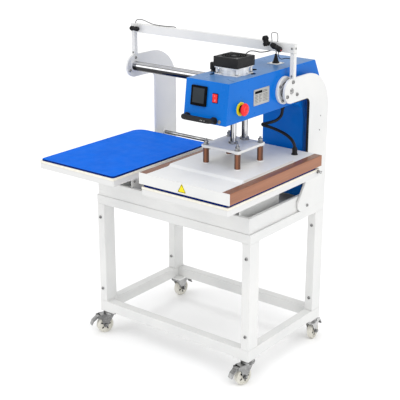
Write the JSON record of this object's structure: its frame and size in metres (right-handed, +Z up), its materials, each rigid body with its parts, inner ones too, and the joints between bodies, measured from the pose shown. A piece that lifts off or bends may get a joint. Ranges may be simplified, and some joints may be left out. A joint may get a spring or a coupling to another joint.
{
  "type": "twin-station heat press",
  "caption": "Heat press on a wheeled stand: a head slides between two work stations and lowers a heating platen.",
  "frame": {"origin": "on the floor, under the middle of the overall box without the leads", "axes": "+X from the left station to the right station, +Y from front to rear, +Z up"},
  "size_m": [0.96, 0.8402, 1.3694],
  "materials": {
    "white_paint": "satin powder coat",
    "blue_paint": "smooth gloss",
    "pad_silicone": "matte silicone",
    "board_white": "satin",
    "strip_brown": "smooth phenolic laminate",
    "heater_alloy": "coated, satin",
    "chrome": "polished",
    "bright_steel": "zinc plated",
    "machined_alloy": "machined",
    "black_plastic": "fine texture",
    "wheel_cream": "smooth",
    "stop_yellow": "smooth",
    "stop_red": "smooth"
  },
  "bodies": {
    "stand": {"top_frame": "white_paint", "lower_frame": "white_paint", "leg_front_left": "white_paint", "leg_front_right": "white_paint", "leg_rear_left": "white_paint", "leg_rear_right": "white_paint", "base_tray": "white_paint", "side_plate_left": "white_paint", "side_plate_right": "white_paint", "guide_shaft": "chrome", "rear_guide_rod": "bright_steel", "lower_board_left": "board_white", "lower_board_right": "board_white", "silicone_pad_left": "pad_silicone", "silicone_pad_right": "pad_silicone", "overhead_beam": "white_paint", "beam_post_left": "white_paint", "beam_post_right": "white_paint", "laser_lead_left": "black_plastic", "laser_lead_right": "black_plastic"},
    "head": {"arm_housing": "blue_paint", "slide_bearing": "white_paint", "touch_screen": "black_plastic", "stop_collar": "stop_yellow", "front_handle": "black_plastic", "actuator": "machined_alloy", "fan_housing": "black_plastic", "cable_gland": "black_plastic", "fan_lead": "black_plastic", "conduit": "black_plastic"},
    "press": {"piston_rod": "chrome", "guide_column": "chrome", "press_plate": "white_paint", "spacer_front_left": "strip_brown", "spacer_front_right": "strip_brown", "spacer_rear_left": "strip_brown", "spacer_rear_right": "strip_brown", "heating_plate": "heater_alloy", "platen_cover": "white_paint", "side_strip_left": "strip_brown", "side_strip_right": "strip_brown"},
    "stop_button": {"stop_button": "stop_red"},
    "power_rocker": {"power_rocker": "stop_red"},
    "fan_rotor": {"fan_rotor": "black_plastic"},
    "pressure_knob": {"pressure_knob": "black_plastic"},
    "laser_left": {"laser_left": "black_plastic"},
    "laser_middle": {"laser_middle": "black_plastic"},
    "laser_right": {"laser_right": "black_plastic"},
    "caster_front_left": {"caster_fork_front_left": "bright_steel"},
    "wheel_front_left": {"caster_wheel_front_left": "wheel_cream"},
    "pedal_front_left": {"brake_pedal_front_left": "bright_steel"},
    "caster_front_right": {"caster_fork_front_right": "bright_steel"},
    "wheel_front_right": {"caster_wheel_front_right": "wheel_cream"},
    "pedal_front_right": {"brake_pedal_front_right": "bright_steel"},
    "caster_rear_left": {"caster_fork_rear_left": "bright_steel"},
    "wheel_rear_left": {"caster_wheel_rear_left": "wheel_cream"},
    "pedal_rear_left": {"brake_pedal_rear_left": "bright_steel"},
    "caster_rear_right": {"caster_fork_rear_right": "bright_steel"},
    "wheel_rear_right": {"caster_wheel_rear_right": "wheel_cream"},
    "pedal_rear_right": {"brake_pedal_rear_right": "bright_steel"}
  },
  "joints": [
    {"name": "head_slide", "type": "slide", "parent": "stand", "child": "head", "axis": [1, 0, 0], "range_m": [-0.548, 0]},
    {"name": "press_slide", "type": "slide", "parent": "head", "child": "press", "axis": [0, 0, 1], "range_m": [0, 0.08], "deforming": ["conduit"]},
    {"name": "stop_button_push", "type": "slide", "parent": "head", "child": "stop_button", "axis": [-1, 0, 0], "range_m": [0, 0.006], "stiffness_N_per_m": 1500, "springref_m": -0.002},
    {"name": "power_rocker_tilt", "type": "hinge", "parent": "head", "child": "power_rocker", "pos_m": [0.3114, -0.2804, 1.1883], "axis": [1, 0, 0], "range_deg": [0, 14]},
    {"name": "fan_spin", "type": "hinge", "parent": "head", "child": "fan_rotor", "pos_m": [0.27, -0.1119, 1.29], "axis": [0, 0, 1], "continuous": true},
    {"name": "pressure_knob_turn", "type": "hinge", "parent": "head", "child": "pressure_knob", "pos_m": [0.189, -0.1334, 1.246], "axis": [0, 0, 1], "range_deg": [0, 270]},
    {"name": "laser_left_aim", "type": "hinge", "parent": "stand", "child": "laser_left", "pos_m": [-0.373, 0.0583, 1.3256], "axis": [0, 1, 0], "range_deg": [-30, 30]},
    {"name": "laser_middle_aim", "type": "hinge", "parent": "stand", "child": "laser_middle", "pos_m": [0.299, 0.0553, 1.3357], "axis": [0, 1, 0], "range_deg": [-20, 20]},
    {"name": "laser_right_aim", "type": "hinge", "parent": "stand", "child": "laser_right", "pos_m": [0.338, 0.0573, 1.3287], "axis": [0, 1, 0], "range_deg": [-20, 20]},
    {"name": "caster_swivel_front_left", "type": "hinge", "parent": "stand", "child": "caster_front_left", "pos_m": [-0.374, -0.1439, 0.1], "axis": [0, 0, 1], "continuous": true},
    {"name": "wheel_roll_front_left", "type": "hinge", "parent": "caster_front_left", "child": "wheel_front_left", "pos_m": [-0.3862, -0.1669, 0.0375], "axis": [0.8829, -0.4695, 0], "continuous": true},
    {"name": "brake_press_front_left", "type": "hinge", "parent": "caster_front_left", "child": "pedal_front_left", "pos_m": [-0.3998, -0.1925, 0.08], "axis": [0.8829, -0.4695, 0], "range_deg": [-18, 0]},
    {"name": "caster_swivel_front_right", "type": "hinge", "parent": "stand", "child": "caster_front_right", "pos_m": [0.378, -0.1439, 0.1], "axis": [0, 0, 1], "continuous": true},
    {"name": "wheel_roll_front_right", "type": "hinge", "parent": "caster_front_right", "child": "wheel_front_right", "pos_m": [0.3713, -0.169, 0.0375], "axis": [0.9659, -0.2588, 0], "continuous": true},
    {"name": "brake_press_front_right", "type": "hinge", "parent": "caster_front_right", "child": "pedal_front_right", "pos_m": [0.3638, -0.1971, 0.08], "axis": [0.9659, -0.2588, 0], "range_deg": [-18, 0]},
    {"name": "caster_swivel_rear_left", "type": "hinge", "parent": "stand", "child": "caster_rear_left", "pos_m": [-0.374, 0.3271, 0.1], "axis": [0, 0, 1], "continuous": true},
    {"name": "wheel_roll_rear_left", "type": "hinge", "parent": "caster_rear_left", "child": "wheel_rear_left", "pos_m": [-0.3713, 0.3529, 0.0375], "axis": [-0.9945, 0.1045, 0], "continuous": true},
    {"name": "brake_press_rear_left", "type": "hinge", "parent": "caster_rear_left", "child": "pedal_rear_left", "pos_m": [-0.3683, 0.3818, 0.08], "axis": [-0.9945, 0.1045, 0], "range_deg": [-18, 0]},
    {"name": "caster_swivel_rear_right", "type": "hinge", "parent": "stand", "child": "caster_rear_right", "pos_m": [0.378, 0.3271, 0.1], "axis": [0, 0, 1], "continuous": true},
    {"name": "wheel_roll_rear_right", "type": "hinge", "parent": "caster_rear_right", "child": "wheel_rear_right", "pos_m": [0.3753, 0.3529, 0.0375], "axis": [-0.9945, -0.1045, 0], "continuous": true},
    {"name": "brake_press_rear_right", "type": "hinge", "parent": "caster_rear_right", "child": "pedal_rear_right", "pos_m": [0.3723, 0.3818, 0.08], "axis": [-0.9945, -0.1045, 0], "range_deg": [-18, 0]}
  ]
}
